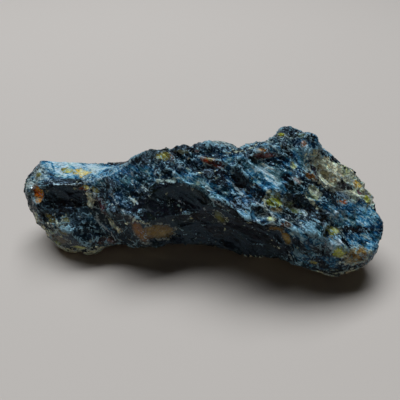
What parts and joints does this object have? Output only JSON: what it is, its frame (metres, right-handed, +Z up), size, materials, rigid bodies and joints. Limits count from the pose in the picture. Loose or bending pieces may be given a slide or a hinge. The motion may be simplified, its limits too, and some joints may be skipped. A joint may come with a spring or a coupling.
{
  "type": "raw amber piece",
  "caption": "Broken lump of rough dark blue amber with flow ledges and see-through windows, lying on two worn flats.",
  "frame": {"origin": "on the table plane, under the middle of the box around the piece", "axes": "+X along the length towards the tall blunt end, -Y towards the smooth hollow face in front, +Z up from the worn flats"},
  "size_m": [0.1242, 0.045, 0.0459],
  "materials": {
    "amber": "rough broken resin: frosted blue on the weathered faces, glossy and nearly black on the fresh ones, olive and orange where light comes through"
  },
  "bodies": {
    "root": {"raw_amber": "amber"}
  },
  "joints": []
}
